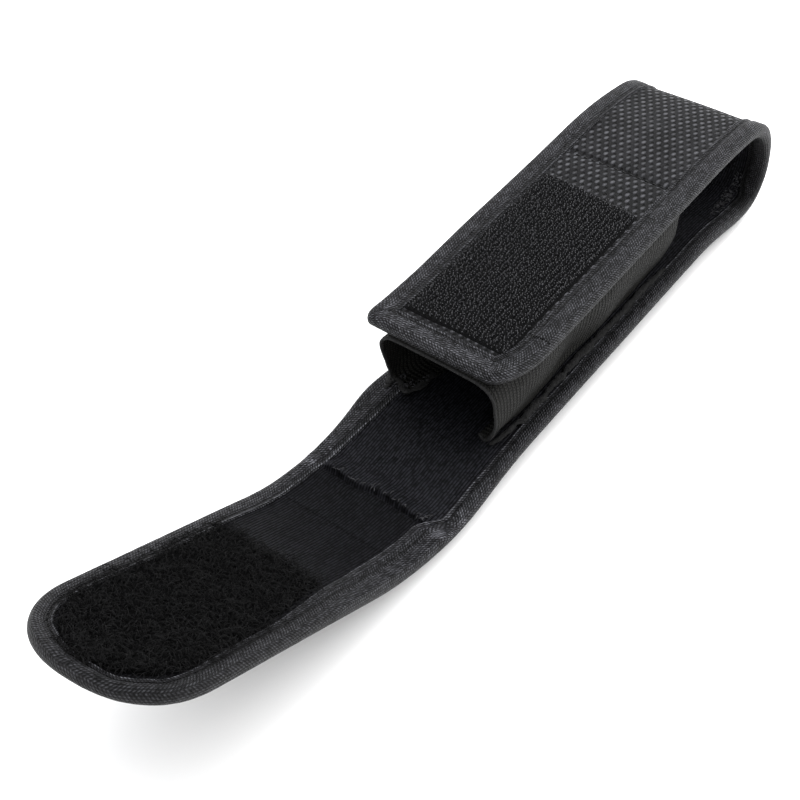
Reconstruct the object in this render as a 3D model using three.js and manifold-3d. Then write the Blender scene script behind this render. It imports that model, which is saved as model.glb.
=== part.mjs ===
// A belt holster for a tactical flashlight, lying on its back with its flap open.
//
// One padded strip makes the flap, the back, the bottom and the front of the pocket. It is a sandwich
// of nylon shell, foam and lining, and a tape binds its edge all the way round. Elastic closes the
// pocket's sides, hook tape on the front takes the loop tape inside the flap, and a webbing loop on the
// back takes a belt. The flap folds at a crease behind the mouth and again where it comes down over the
// front, and the front presses down towards the back, so the strip is cut at those three folds.
//
// Millimetres. +X runs along the pocket from its mouth to its bottom, +Y across the strip, +Z up.
// While it is being drawn, x = 0 is the pocket's mouth and z = 0 the middle of the strip at the back.
import * as THREE from "three";
import { mergeVertices } from "three/addons/utils/BufferGeometryUtils.js";
import Module from "manifold-3d";

const wasm = await Module();
wasm.setup();

// The strip and its layers. Offsets are from the strip's middle, positive towards the lining.
const STRIP_WIDTH = 48;
const HALF = STRIP_WIDTH / 2;
const GAP = 0.2; // between layers that touch
const SHELL = [-1.5, -0.8];
const FOAM = [-0.6, 0.8];
const LINING = [1.0, 1.5];
const FACE = LINING[1]; // both faces of the sandwich lie this far from its middle
const TAPE = 0.4; // thickness of the binding tape
const TAPE_BORE = FACE + GAP;
const TAPE_FACE = TAPE_BORE + TAPE;
const PANEL_HALF = HALF - TAPE - GAP;

// How far the binding reaches in from the left (+Y) and right (-Y) edges of each piece.
const REACH = {
  tongue: { left: 5.2, right: 8.4 },
  neck: { left: 5.2, right: 8.4 },
  back: { left: 8, right: 5 },
  turn: { left: 7, right: 7 },
  front: { left: 7, right: 7.5 },
};

// The strip's side view, walked from the flap's tip to the pocket's mouth. Angles are in degrees.
const FLAP_RISE = 26.6; // slope of the open flap
const TONGUE_LENGTH = 83.2;
const NECK_STRAIGHT = 6.3;
const CREASE_RADIUS = 72.3;
const CREASE_SLOPE = 2.8; // slope of the strip where it is cut at the crease
const DIP = 6.5; // slope between the crease and the flat of the back
const DIP_RUN = 7;
const DIP_RADIUS = 160;
const BACK_FLAT = 102.4;
const HEEL_DIP = 10;
const HEEL_RADII = [120, 60];
const HEEL_RUN = 4;
const TOE_RADIUS = 10.3;
const CROWN_LEAN = 17.6; // the bottom leans this far back over the pocket
const CROWN_RADII = [26.4, 20.4];
const SAG = 10.5; // how far the front's end slopes down to the bottom
const SAG_RADIUS = 184;
const FRONT_TILT = 0.45; // slope of the front
const FRONT_LENGTH = 107; // from the mouth to where the front bends down when it is pressed
const FOLD_GAP = 1.4; // between the strips either side of a fold

// Outline of the flap's tip and the mouth's two corners.
const MOUTH_RIGHT = 10;
const MOUTH_LEFT = 3.5;
const MOUTH_REACH = 7.5;
const TIP_REACH = 10.8;

// Hook and loop tape.
const HOOK_X = [8.4, 80.8];
const HOOK_SKEW = 2.5; // how much further the left edge runs
const HOOK_THICK = 1.2;
const LOOP_START = 7.8; // from the flap's second fold
const LOOP_THICK = 1.4;
const PATCH_GAP = 0.4; // between the tape and the binding round it

// Elastic, closing the pocket's sides.
const ELASTIC_X = [0.5, 103];
const ELASTIC_THICK = 1;
const BRIDGE_HALF = 15.6;
const BRIDGE_DEPTH = TAPE_FACE + GAP;

// Belt loop, and the stitches that hold it and the elastic.
const WEB_WIDTH = 30;
const WEB_THICK = 1.6;
const WEB_Z = -7.6; // middle of the webbing where it stands off
const WEB_TOP_X = [-24, -12];
const WEB_CLEAR_X = [0, 50];
const WEB_BOTTOM_X = [60, 74];
const THREAD = 0.5;
const CROSS_SEAM_X = 96.5;

const rad = THREE.MathUtils.degToRad;

// A side view drawn as a walk of straight runs and arcs in the XZ plane. Positive arcs turn left,
// and left is always the lining's side.
class Walk {
  constructor(heading) {
    this.points = [{ x: 0, z: 0, heading, s: 0 }];
  }
  get end() {
    return this.points[this.points.length - 1];
  }
  step(length, turn) {
    const { x, z, heading, s } = this.end;
    const chord = turn ? (length * Math.sin(turn / 2)) / (turn / 2) : length;
    const along = heading + turn / 2;
    this.points.push({
      x: x + chord * Math.cos(along),
      z: z + chord * Math.sin(along),
      heading: heading + turn,
      s: s + length,
    });
    return this;
  }
  line(length) {
    return this.step(length, 0);
  }
  arc(radius, degrees, pieces) {
    const turn = rad(degrees) / pieces;
    for (let i = 0; i < pieces; i++) this.step(radius * Math.abs(turn), turn);
    return this;
  }
  shift(dx, dz) {
    for (const p of this.points) {
      p.x += dx;
      p.z += dz;
    }
  }
  at(s) {
    const i = this.points.findIndex((p) => p.s >= s - 1e-9);
    const b = this.points[i];
    const a = this.points[i - 1] ?? b;
    const t = b.s > a.s ? (s - a.s) / (b.s - a.s) : 1;
    const mix = (key) => a[key] + t * (b[key] - a[key]);
    return { x: mix("x"), z: mix("z"), heading: mix("heading"), s };
  }
  // The points of the line at an offset from this one, between two stations.
  offset(n, s0, s1) {
    const inner = this.points.filter((p) => p.s > s0 + 0.1 && p.s < s1 - 0.1);
    const beside = (p) => [p.x - n * Math.sin(p.heading), p.z + n * Math.cos(p.heading)];
    return [this.at(s0), ...inner, this.at(s1)].map((p) => new THREE.Vector2(...beside(p)));
  }
}

const strip = new Walk(-rad(FLAP_RISE));
strip.line(TONGUE_LENGTH);
const FOLD_S = strip.end.s;
strip.line(NECK_STRAIGHT).arc(CREASE_RADIUS, FLAP_RISE - CREASE_SLOPE, 6);
const CREASE_S = strip.end.s;
strip.arc(CREASE_RADIUS, CREASE_SLOPE + DIP, 3).line(DIP_RUN).arc(DIP_RADIUS, -DIP, 3);
const BELLY_S = strip.end.s;
strip.line(BACK_FLAT).arc(HEEL_RADII[0], -HEEL_DIP, 3).line(HEEL_RUN);
strip.arc(HEEL_RADII[1], HEEL_DIP, 3);
const TOE_S = strip.end.s;
strip.arc(TOE_RADIUS, 90, 8).arc(CROWN_RADII[0], CROWN_LEAN, 3);
strip.arc(CROWN_RADII[1], 90 - CROWN_LEAN - SAG + FRONT_TILT, 7).arc(SAG_RADIUS, SAG, 4);
const PRESS_S = strip.end.s;
strip.line(FRONT_LENGTH);
const MOUTH_S = strip.end.s;
strip.shift(-strip.end.x, -strip.at(BELLY_S).z);

// An outline in the XZ plane, extruded across the strip.
function across(points, y0, y1) {
  const made = new THREE.ExtrudeGeometry(new THREE.Shape(points), { depth: y1 - y0, bevelEnabled: false });
  return made.rotateX(Math.PI / 2).translate(0, y1, 0);
}

// One layer of the strip between two stations, from y0 to y1.
function band([n0, n1], s0, s1, y0, y1) {
  return across([...strip.offset(n0, s0, s1), ...strip.offset(n1, s0, s1).reverse()], y0, y1);
}

// A flat panel seen from above, with its corners at x0 rounded on the right (-Y) and left (+Y).
function panel(x0, x1, y0, y1, right = 0, left = 0) {
  const points = [new THREE.Vector2(x1, y0), new THREE.Vector2(x1, y1)];
  const corner = (x, y, radius, from) => {
    const pieces = Math.ceil(radius / 1.8);
    for (let i = 0; i <= pieces; i++) {
      const angle = from + ((i / Math.max(pieces, 1)) * Math.PI) / 2;
      const point = new THREE.Vector2(x + radius * Math.cos(angle), y + radius * Math.sin(angle));
      if (point.distanceTo(points[points.length - 1]) > 1e-3) points.push(point);
    }
  };
  corner(x0 + left, y1 - left, left, Math.PI / 2);
  corner(x0 + right, y0 + right, right, Math.PI);
  return new THREE.Shape(points);
}

// A panel's shape extruded between two heights.
function slab(shape, [z0, z1]) {
  return new THREE.ExtrudeGeometry(shape, { depth: z1 - z0, bevelEnabled: false }).translate(0, 0, z0);
}

// A closed skin through rings of points, each ring a closed polygon at its own x.
function loft(rings) {
  const count = rings[0].length;
  const cap = THREE.ShapeUtils.triangulateShape(rings[0].map(([, y, z]) => new THREE.Vector2(y, z)), []);
  const last = (rings.length - 1) * count;
  const index = cap.flatMap(([a, b, c]) => [a, c, b, last + a, last + b, last + c]);
  for (let r = 0; r < rings.length - 1; r++) {
    for (let i = 0; i < count; i++) {
      const a = r * count + i;
      const b = r * count + ((i + 1) % count);
      index.push(a, b, b + count, a, b + count, a + count);
    }
  }
  const geometry = new THREE.BufferGeometry();
  geometry.setAttribute("position", new THREE.Float32BufferAttribute(rings.flat(2), 3));
  return geometry.setIndex(index);
}

// The outline of a thin piece with this middle line, both as [x, y] pairs.
function thicken(line, half) {
  const sides = line.map((p, i) => {
    const a = line[Math.max(i - 1, 0)];
    const b = line[Math.min(i + 1, line.length - 1)];
    const length = Math.hypot(b[0] - a[0], b[1] - a[1]);
    const normal = [-(b[1] - a[1]) / length, (b[0] - a[0]) / length];
    return [1, -1].map((side) => p.map((value, k) => value + side * half * normal[k]));
  });
  return [...sides.map(([left]) => left).reverse(), ...sides.map(([, right]) => right)];
}

function solid(geometry) {
  const bare = geometry.clone();
  bare.deleteAttribute("normal");
  bare.deleteAttribute("uv");
  const merged = mergeVertices(bare, 1e-4);
  const made = new wasm.Mesh({
    numProp: 3,
    vertProperties: merged.attributes.position.array,
    triVerts: new Uint32Array(merged.index.array),
  });
  return new wasm.Manifold(made);
}

function geometryOf(manifold) {
  const made = manifold.getMesh();
  const geometry = new THREE.BufferGeometry();
  geometry.setAttribute("position", new THREE.BufferAttribute(made.vertProperties, 3));
  return geometry.setIndex(new THREE.BufferAttribute(made.triVerts, 1));
}

function cut(from, ...tools) {
  return geometryOf(tools.reduce((left, tool) => left.subtract(solid(tool)), solid(from)));
}

const cloth = (color, roughness) => new THREE.MeshStandardMaterial({ color, roughness, metalness: 0 });
const MATERIALS = {
  shell: cloth(0x242427, 0.75),
  foam: cloth(0x303033, 0.95),
  lining: cloth(0x101013, 0.85),
  tape: cloth(0x2a2a2b, 0.7),
  elastic: cloth(0x262725, 0.8),
  hook: cloth(0x17171a, 0.6),
  loop: cloth(0x0c0c0e, 0.95),
  webbing: cloth(0x1e1e20, 0.7),
  thread: cloth(0x151517, 0.6),
};

function mesh(name, geometry, material) {
  const made = new THREE.Mesh(geometry, MATERIALS[material]);
  made.name = name;
  return made;
}

// The three layers of a curved stretch of strip, each as wide as the binding lets it be.
function layers(name, s0, s1) {
  const layer = (part, offsets) =>
    mesh(`${name}_${part}`, band(offsets, s0, s1, -PANEL_HALF, PANEL_HALF), part);
  return [layer("shell", SHELL), layer("foam", FOAM), layer("lining", LINING)];
}

// The binding along both edges of a curved stretch: channels that hold the sandwich's edges.
function bindings(name, s0, s1) {
  return ["left", "right"].map((side) => {
    const inner = HALF - REACH[name][side];
    const [y0, y1] = side === "left" ? [inner, HALF] : [-HALF, -inner];
    const [b0, b1] = side === "left" ? [inner - 1, HALF - TAPE] : [TAPE - HALF, 1 - inner];
    const bore = band([-TAPE_BORE, TAPE_BORE], s0 - 0.5, s1 + 0.5, b0, b1);
    const tape = cut(band([-TAPE_FACE, TAPE_FACE], s0, s1, y0, y1), bore);
    return mesh(`${name}_binding_${side}`, tape, "tape");
  });
}

// The binding round a flat panel, from its outline, its outline less the tape, and its opening.
function rim(outline, bore, opening) {
  const tall = [-TAPE_FACE - 1, TAPE_FACE + 1];
  const whole = slab(outline, [-TAPE_FACE, TAPE_FACE]);
  return cut(whole, slab(bore, [-TAPE_BORE, TAPE_BORE]), slab(opening, tall));
}

// Tongue: the free end of the flap. Its own x = 0 is the second fold, and z is up at the lining.
function tongue() {
  const end = -FOLD_GAP / 2;
  const outline = (inset) => {
    const half = HALF - inset;
    const past = inset && inset < 0.5 ? 1 : 0; // the bore runs out past the fold
    return panel(-TONGUE_LENGTH + inset, end + past, -half, half, half, half);
  };
  const { left, right } = REACH.tongue;
  const inside = (inset, x1) => {
    const [y0, y1] = [-HALF + right + inset, HALF - left - inset];
    return panel(-TONGUE_LENGTH + TIP_REACH + inset, x1, y0, y1, (y1 - y0) / 2, (y1 - y0) / 2);
  };
  const sheet = outline(TAPE + GAP);
  const loop = [FACE + GAP, FACE + GAP + LOOP_THICK];
  const group = new THREE.Group();
  group.add(
    mesh("tongue_shell", slab(sheet, SHELL), "shell"),
    mesh("tongue_foam", slab(sheet, FOAM), "foam"),
    mesh("tongue_lining", slab(sheet, LINING), "lining"),
    mesh("loop_patch", slab(inside(PATCH_GAP, -LOOP_START), loop), "loop"),
    mesh("tongue_binding", rim(outline(0), outline(TAPE), inside(0, 1)), "tape"),
  );
  const fold = strip.at(FOLD_S);
  group.position.set(fold.x, 0, fold.z);
  group.rotation.y = rad(FLAP_RISE);
  return group;
}

// Neck: the stretch of flap between the crease and the second fold.
function neck() {
  const ends = [FOLD_S + FOLD_GAP / 2, CREASE_S - FOLD_GAP / 2];
  const group = new THREE.Group();
  group.add(...layers("neck", ...ends), ...bindings("neck", ...ends));
  return group;
}

// Front: the pocket's outer face. Its own x = 0 is the mouth, and z is up at the shell.
function front() {
  const end = FRONT_LENGTH - FOLD_GAP / 2;
  const outline = (inset, x1) => {
    const half = HALF - inset;
    return panel(inset, x1, -half, half, MOUTH_RIGHT - inset, MOUTH_LEFT - inset);
  };
  const up = ([n0, n1]) => [-n1, -n0];
  const [y0, y1] = [-HALF + REACH.front.right, HALF - REACH.front.left];
  const opening = panel(MOUTH_REACH, end + 1, y0, y1);
  const sheet = outline(TAPE + GAP, end);
  const hook = new THREE.Shape([
    new THREE.Vector2(HOOK_X[0], y0 + PATCH_GAP),
    new THREE.Vector2(HOOK_X[1] - HOOK_SKEW / 2, y0 + PATCH_GAP),
    new THREE.Vector2(HOOK_X[1] + HOOK_SKEW / 2, y1 - PATCH_GAP),
    new THREE.Vector2(HOOK_X[0], y1 - PATCH_GAP),
  ]);
  const seam = panel(CROSS_SEAM_X - 0.4, CROSS_SEAM_X + 0.4, y0 + PATCH_GAP, y1 - PATCH_GAP);
  const bridge = panel(ELASTIC_X[0], ELASTIC_X[1], -BRIDGE_HALF, BRIDGE_HALF);
  const group = new THREE.Group();
  group.add(
    mesh("front_shell", slab(sheet, up(SHELL)), "shell"),
    mesh("front_foam", slab(sheet, up(FOAM)), "foam"),
    mesh("front_lining", slab(sheet, up(LINING)), "lining"),
    mesh("hook_patch", slab(hook, [FACE + GAP, FACE + GAP + HOOK_THICK]), "hook"),
    mesh("cross_seam", slab(seam, [FACE + 0.1, FACE + 0.1 + THREAD]), "thread"),
    mesh("elastic_bridge", slab(bridge, [-BRIDGE_DEPTH - ELASTIC_THICK, -BRIDGE_DEPTH]), "elastic"),
    mesh("front_binding", rim(outline(0, end), outline(TAPE, end + 1), opening), "tape"),
  );
  const mouth = strip.at(MOUTH_S);
  group.position.set(mouth.x, 0, mouth.z);
  group.rotation.y = -rad(FRONT_TILT);
  return group;
}

// One elastic side: a foot on the back's lining, and a wall that bulges out and meets the front.
function elastic(side) {
  const foot = FACE + GAP + ELASTIC_THICK / 2;
  const ringAt = (x) => {
    const top = strip.at(MOUTH_S).z + x * Math.tan(rad(FRONT_TILT)) - BRIDGE_DEPTH - ELASTIC_THICK / 2;
    const rise = top - foot;
    const line = [
      [9, foot],
      [15, foot],
      [17.6, foot + 0.16 * rise],
      [20.2, foot + 0.38 * rise],
      [21.7, foot + 0.6 * rise],
      [21.4, foot + 0.78 * rise],
      [19.5, foot + 0.93 * rise],
      [BRIDGE_HALF + 0.6, top],
    ];
    const ring = thicken(line, ELASTIC_THICK / 2).map(([y, z]) => [x, side * y, z]);
    return side > 0 ? ring : ring.reverse();
  };
  const [x0, x1] = ELASTIC_X;
  const name = side > 0 ? "elastic_side_left" : "elastic_side_right";
  return mesh(name, loft([ringAt(x0), ringAt(x1)]), "elastic");
}

// The station on the back at this x.
function stationAt(x) {
  let low = CREASE_S;
  let high = TOE_S;
  while (high - low > 1e-6) {
    const middle = (low + high) / 2;
    if (strip.at(middle).x < x) low = middle;
    else high = middle;
  }
  return low;
}

// The belt loop: webbing sewn down along the strip at both ends and standing off between them.
function beltLoop() {
  const depth = -FACE - GAP - WEB_THICK / 2;
  const sewn = ([x0, x1]) => strip.offset(depth, stationAt(x0), stationAt(x1)).map((p) => [p.x, p.y]);
  const clear = WEB_CLEAR_X.map((x) => [x, WEB_Z]);
  const line = [...sewn(WEB_TOP_X), ...clear, ...sewn(WEB_BOTTOM_X)];
  const outline = thicken(line, WEB_THICK / 2).map(([x, z]) => new THREE.Vector2(x, z));
  return mesh("belt_loop", across(outline, -WEB_WIDTH / 2, WEB_WIDTH / 2), "webbing");
}

// A tack across the webbing's sewn end, lying under it.
function tack(name, x) {
  const face = -FACE - GAP - WEB_THICK - 0.1;
  const s = stationAt(x);
  const half = WEB_WIDTH / 2 - 2;
  return mesh(name, band([face - THREAD, face], s - 1.2, s + 1.2, -half, half), "thread");
}

// Back, the pocket's bottom, and everything sewn to them.
function back() {
  const heel = [CREASE_S + FOLD_GAP / 2, TOE_S - GAP / 2];
  const toe = [TOE_S + GAP / 2, PRESS_S - FOLD_GAP / 2];
  const group = new THREE.Group();
  group.add(
    ...layers("back", ...heel),
    ...bindings("back", ...heel),
    ...layers("turn", ...toe),
    ...bindings("turn", ...toe),
    elastic(1),
    elastic(-1),
    beltLoop(),
    tack("belt_loop_tack_top", (WEB_TOP_X[0] + WEB_TOP_X[1]) / 2),
    tack("belt_loop_tack_bottom", (WEB_BOTTOM_X[0] + WEB_BOTTOM_X[1]) / 2),
  );
  return group;
}

const holster = new THREE.Group();
holster.add(back(), front(), neck(), tongue());

// The finished part stands on z = 0, with the middle of its bounding box at x = 0 and y = 0.
holster.updateMatrixWorld(true);
const box = new THREE.Box3().setFromObject(holster, true);
holster.position.set(-(box.min.x + box.max.x) / 2, 0, -box.min.z);

export default holster;
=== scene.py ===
# Looks for the belt holster of a tactical flashlight: one padded strip that makes the flap, the back,
# the bottom and the front of the pocket, with binding, hook and loop tape, elastic and a belt loop.
#
# Shapes are drawn in the strip's own coordinates, in millimetres: s runs along the strip from the
# flap's tip to the pocket's mouth, y across it and n off its middle, positive towards the lining.
import math

import bpy
import numpy as np
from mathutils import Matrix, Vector


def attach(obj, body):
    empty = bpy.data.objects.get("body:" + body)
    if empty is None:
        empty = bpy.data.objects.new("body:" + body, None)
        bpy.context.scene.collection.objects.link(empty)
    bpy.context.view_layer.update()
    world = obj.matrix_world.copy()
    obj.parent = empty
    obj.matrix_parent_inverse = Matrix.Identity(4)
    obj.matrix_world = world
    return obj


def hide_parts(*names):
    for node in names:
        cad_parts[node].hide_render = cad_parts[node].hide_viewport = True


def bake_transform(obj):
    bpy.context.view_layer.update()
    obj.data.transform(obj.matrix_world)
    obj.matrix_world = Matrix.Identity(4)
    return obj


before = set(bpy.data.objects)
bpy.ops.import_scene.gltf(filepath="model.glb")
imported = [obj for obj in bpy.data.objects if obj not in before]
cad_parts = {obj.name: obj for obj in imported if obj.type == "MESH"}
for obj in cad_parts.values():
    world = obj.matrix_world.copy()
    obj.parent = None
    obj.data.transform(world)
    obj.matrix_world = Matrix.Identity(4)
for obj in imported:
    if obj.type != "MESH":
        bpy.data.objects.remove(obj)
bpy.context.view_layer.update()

MM = 0.001
ORIGIN = (-11.4781, 0.0, 8.3986)  # the mouth's edge and the back's middle, from the row's origin
HALF = 24.3  # half the strip's width, over its binding
FACE = 1.5  # from the strip's middle to its cloth
EDGE = 2.1  # from the strip's middle to the binding
GROOVE = 1.72  # from the strip's middle to the binding's stitched groove
PANEL_INSET = 1.2  # from the strip's outline in to its padding
PATH_STEP = 0.6  # between a binding's stations
PANEL_STEP = 0.9  # between a panel's stations


# ---------------------------------------------------------------- camera and light


def camera():
    data = bpy.data.cameras.new("camera")
    data.lens = 66.16
    data.clip_start = 0.01
    ob = bpy.data.objects.new("camera", data)
    bpy.context.scene.collection.objects.link(ob)
    ob.location = Vector((-231.8 + ORIGIN[0], -157.9, 310.1 + ORIGIN[2])) * MM
    down, turn = math.radians(46.63), math.radians(36.23)
    look = Vector((math.cos(down) * math.cos(turn), math.cos(down) * math.sin(turn), -math.sin(down)))
    ob.rotation_euler = look.to_track_quat("-Z", "Y").to_euler()
    bpy.context.scene.camera = ob


def area_light(name, at, aim, size, power, color=(1, 1, 1)):
    data = bpy.data.lights.new(name, "AREA")
    data.shape = "DISK"
    data.size = size
    data.energy = power
    data.color = color
    ob = bpy.data.objects.new(name, data)
    bpy.context.scene.collection.objects.link(ob)
    ob.location = at
    ob.rotation_euler = (Vector(aim) - Vector(at)).to_track_quat("-Z", "Y").to_euler()


def studio():
    world = bpy.data.worlds.new("studio")
    world.use_nodes = True
    world.node_tree.nodes["Background"].inputs["Color"].default_value = (1, 1, 1, 1)
    world.node_tree.nodes["Background"].inputs["Strength"].default_value = 1.12
    bpy.context.scene.world = world
    bpy.context.scene.view_settings.view_transform = "Standard"
    area_light("key", (0.34, -0.24, 0.68), (0.02, 0, 0.02), 0.90, 6.5)
    area_light("top", (0.08, 0.26, 0.72), (0, 0, 0.02), 0.90, 5.0, (0.97, 0.98, 1))
    area_light("far", (0.75, 0.10, 0.45), (0.05, 0, 0.02), 0.50, 1.8, (0.97, 0.98, 1))
    bpy.ops.mesh.primitive_grid_add(x_subdivisions=4, y_subdivisions=4, size=6, location=(0, 0, 0))
    floor = bpy.context.object
    floor.name = "floor"
    paint = bpy.data.materials.new("floor")
    paint.use_nodes = True
    shader = paint.node_tree.nodes["Principled BSDF"]
    shader.inputs["Base Color"].default_value = (0.93, 0.93, 0.93, 1)
    shader.inputs["Roughness"].default_value = 0.9
    shader.inputs["Specular IOR Level"].default_value = 0.1
    floor.data.materials.append(paint)


# ---------------------------------------------------------------- the strip's side view


def arc(radius, degrees):
    return (radius * math.radians(abs(degrees)), degrees)


# Angles in degrees.
FLAP_SLOPE = 26.6
CREASE_SLOPE = 2.8
FLAP_TWIST = 5.85
FLAP_SWING = 0.29
FRONT_RISE = 0.45  # of the front, away from the mouth
TONGUE = 83.2  # station of the flap's second fold
FRONT = 107  # length of the front
NECK = [(6.3, 0), arc(72.3, FLAP_SLOPE - CREASE_SLOPE)]
BELLY = [arc(72.3, CREASE_SLOPE + 6.5), (7, 0), arc(160, -6.5)]
HEEL = [(102.4, 0), arc(120, -10), (4, 0), arc(60, 10)]
TURN = [arc(10.3, 90), arc(26.4, 17.6), arc(20.4, 62.35), arc(184, 10.5)]
RUNS = [(TONGUE, 0), *NECK, *BELLY, *HEEL, *TURN, (FRONT, 0)]


def run_length(*groups):
    return sum(length for group in groups for length, _ in group)


CREASE = TONGUE + run_length(NECK)
FLAT = CREASE + run_length(BELLY)
TOE = FLAT + run_length(HEEL)
PRESS = TOE + run_length(TURN)
MOUTH = PRESS + FRONT
STEP = 0.1  # between the samples of the middle line
SOFTEN = 30  # samples each way over which its heading is evened out


def walk():
    """Fine samples of the strip's middle line: station, x, z and heading."""
    s = np.arange(0, MOUTH + STEP, STEP)
    ends = np.cumsum([0] + [length for length, _ in RUNS])
    turned = np.radians(np.cumsum([-FLAP_SLOPE] + [turn for _, turn in RUNS]))
    heading = np.interp(s, ends, turned)
    window = np.hanning(2 * SOFTEN + 1)
    padded = np.pad(heading, SOFTEN, mode="edge")
    heading = np.convolve(padded, window / window.sum(), "valid")
    x = np.concatenate([[0], np.cumsum(np.cos(heading[:-1]) * STEP)])
    z = np.concatenate([[0], np.cumsum(np.sin(heading[:-1]) * STEP)])
    x -= np.interp(MOUTH, s, x)
    z -= np.interp(FLAT + 20, s, z)
    return s, x, z, heading


WALK = walk()


def place(s, y, n):
    """Points of the strip in metres, in the row frame.

    The flap is twisted, swung and skewed a little, the bottom sags more at its left side, and the
    edges spread in places.
    """
    s, y, n = np.broadcast_arrays(*(np.asarray(v, float) for v in (s, y, n)))
    s = s + 0.055 * y * (1 - ramp(s, 2, 45))
    x, z, heading = (np.interp(s, WALK[0], column) for column in WALK[1:])
    twist = math.tan(math.radians(FLAP_TWIST)) * np.clip(1 - s / (TONGUE + 4), 0, 1)
    sag = 0.9 * y / HALF * ramp(s, TOE + 12, TOE + 43) * (1 - ramp(s, TOE + 43, TOE + 84))
    swing = math.tan(math.radians(FLAP_SWING)) * np.clip(CREASE + 3 - s, 0, None)
    off = n - y * twist + sag
    left = 1.3 * dip(s - (CREASE + 29), 10) + 0.9 * dip(s - (PRESS - 22), 34)
    left = left + 0.4 * dip(s - MOUTH, 6)
    right = 0.9 * dip(s - (CREASE + 9), 20) + 0.7 * dip(s - (TOE - 6), 16)
    wide = np.where(y > 0, left, -right) * (y / HALF) ** 2
    points = np.stack([x - off * np.sin(heading), y + swing + wide, z + off * np.cos(heading)], -1)
    points = points + np.array(ORIGIN)
    points[..., 2] = np.maximum(points[..., 2], 0)  # nothing goes into the table
    return points * MM


def station_point(s):
    """The middle of the strip at a station, for a blend's start or end."""
    return tuple(float(v) for v in place(s, 0, 0))


# ---------------------------------------------------------------- noise and meshes


def noise(x, y, seed, cell):
    """Smooth noise from -1 to 1 with features about a cell wide."""
    table = np.random.default_rng(seed).uniform(-1, 1, (256, 256))
    x, y = np.broadcast_arrays(np.asarray(x, float) / cell, np.asarray(y, float) / cell)
    i, j = np.floor(x).astype(int), np.floor(y).astype(int)
    u, v = x - i, y - j
    u, v = u * u * (3 - 2 * u), v * v * (3 - 2 * v)

    def at(a, b):
        return table[a % 256, b % 256]

    low = at(i, j) * (1 - u) + at(i + 1, j) * u
    high = at(i, j + 1) * (1 - u) + at(i + 1, j + 1) * u
    return low * (1 - v) + high * v


def dip(x, width):
    """A soft bump of height 1 at x = 0."""
    return np.exp(-((np.asarray(x) / width) ** 2))


def ramp(x, low, high):
    t = np.clip((np.asarray(x, float) - low) / (high - low), 0, 1)
    return t * t * (3 - 2 * t)


def grid_faces(rows, columns, ring=False):
    """Quads of a grid of points, rows by columns, with the columns closed into a ring if asked."""
    i = np.arange(rows - 1)[:, None]
    j = np.arange(columns if ring else columns - 1)[None, :]
    k = (j + 1) % columns
    here, beside = i * columns + j, i * columns + k
    return np.stack([here, beside, beside + columns, here + columns], -1).reshape(-1, 4)


def slab_faces(rows, half):
    """Faces of a closed slab whose rows are rings, half of each ring on either side, and its end caps."""
    columns = 2 * half
    sides = grid_faces(rows, columns, ring=True)
    ends = []
    for first in (0, (rows - 1) * columns):
        for j in range(half - 1):
            k = columns - 1 - j
            quad = (first + j, first + j + 1, first + k - 1, first + k)
            ends.append(quad if first == 0 else quad[::-1])
    return np.concatenate([sides, ends])


def make(name, points, faces, cloth, weave, face_cloth=None, flip=False):
    """A smooth mesh object.

    weave is each point's place on the cloth in millimetres, along and across, and its painted light,
    above 0 where a painted highlight makes the cloth lighter and below 0 where painted shade darkens it.
    """
    data = bpy.data.meshes.new(name)
    faces = [tuple(f)[:: -1 if flip else 1] for f in faces]
    data.from_pydata([tuple(p) for p in points.reshape(-1, 3)], [], faces)
    for material in cloth if isinstance(cloth, (list, tuple)) else [cloth]:
        data.materials.append(material)
    if face_cloth is not None:
        data.polygons.foreach_set("material_index", np.asarray(face_cloth, np.int32))
    data.polygons.foreach_set("use_smooth", np.ones(len(faces), bool))
    attribute = data.attributes.new("weave", "FLOAT_VECTOR", "POINT")
    flat = np.zeros((len(data.vertices), 3), np.float32)
    flat[:, : weave.shape[-1]] = weave.reshape(len(data.vertices), -1)
    attribute.data.foreach_set("vector", flat.ravel())
    data.update()
    ob = bpy.data.objects.new(name, data)
    bpy.context.scene.collection.objects.link(ob)
    return ob


def tubes(paths, radius, sides=5, taper=0.35):
    """Points and quads of thin closed tubes along paths, an array of paths by points by xyz in metres."""
    paths = np.asarray(paths, float)
    count, length, _ = paths.shape
    ahead = np.gradient(paths, axis=1)
    ahead /= np.linalg.norm(ahead, axis=-1, keepdims=True) + 1e-12
    side = np.cross(ahead, np.array([0.31, 0.17, 0.93]))
    side /= np.linalg.norm(side, axis=-1, keepdims=True) + 1e-12
    up = np.cross(side, ahead)
    t = np.linspace(-1, 1, length)
    size = radius * (taper + (1 - taper) * np.sqrt(np.clip(1 - t**4, 0, 1)))
    angle = np.linspace(0, 2 * math.pi, sides, endpoint=False)
    ring = side[:, :, None] * np.cos(angle)[None, None, :, None]
    ring = ring + up[:, :, None] * np.sin(angle)[None, None, :, None]
    points = paths[:, :, None] + ring * size[None, :, None, None]
    one = grid_faces(length, sides, ring=True)
    faces = (one[None] + (np.arange(count) * length * sides)[:, None, None]).reshape(-1, 4)
    return points.reshape(-1, 3), faces


# ---------------------------------------------------------------- materials


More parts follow.
